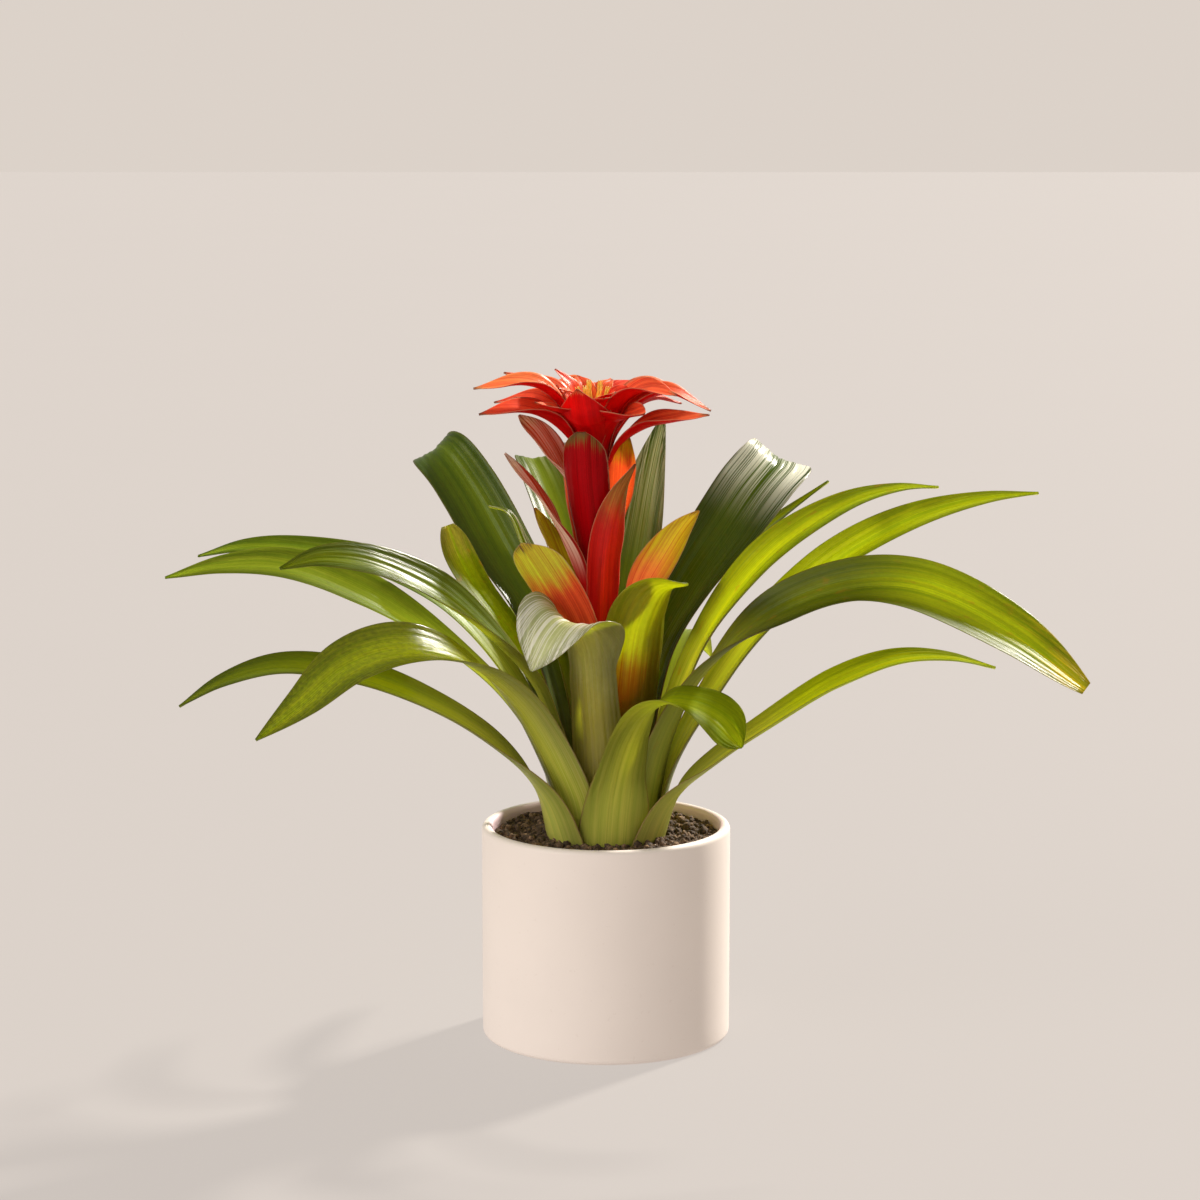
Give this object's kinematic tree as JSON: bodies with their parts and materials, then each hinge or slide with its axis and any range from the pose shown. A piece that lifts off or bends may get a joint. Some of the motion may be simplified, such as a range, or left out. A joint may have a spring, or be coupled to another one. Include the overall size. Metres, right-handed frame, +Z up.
{
  "type": "potted guzmania",
  "caption": "Potted guzmania: a rosette of green strap leaves round a stalk of red bracts with a star of bracts on top, in soil, in a plain round planter.",
  "frame": {"origin": "centre of the pot's flat bottom, on the surface it stands on", "axes": "+Z up along the pot's axis; +X along the rosette's widest spread, to the right seen from the front; +Y to the back"},
  "size_m": [0.5081, 0.3316, 0.3774],
  "materials": {
    "pot": "matte",
    "soil": "matte",
    "stem": "satin",
    "leaf": "satin",
    "bract": "satin",
    "flower": "satin"
  },
  "bodies": {
    "root": {"pot": "pot", "soil": "soil", "stem": "stem", "leaf_low_left": "leaf", "leaf_front_left": "leaf", "leaf_upper_left_back": "leaf", "leaf_upper_left_mid": "leaf", "leaf_upper_left_front": "leaf", "leaf_tall_left": "leaf", "leaf_small_left": "leaf", "leaf_back_left": "leaf", "leaf_back_right": "leaf", "leaf_tall_right": "leaf", "leaf_tall_right_back": "leaf", "leaf_long_right_high": "leaf", "leaf_long_right_mid": "leaf", "leaf_long_right_droop": "leaf", "leaf_low_right": "leaf", "leaf_front_curl": "leaf", "leaf_front_fold": "leaf", "leaf_inner_front_right": "leaf", "leaf_inner_left": "leaf", "leaf_rear_left": "leaf", "leaf_rear_right": "leaf", "leaf_rear_mid": "leaf", "bract_low_left": "bract", "bract_low_right": "bract", "bract_low_back": "bract", "bract_back_left": "bract", "bract_mid_right": "bract", "bract_mid_left": "bract", "bract_back": "bract", "bract_right": "bract", "bract_front": "bract", "bract_upper_back": "bract", "bract_upper_left": "bract", "bloom": "bract", "flowers": "flower"}
  },
  "joints": []
}
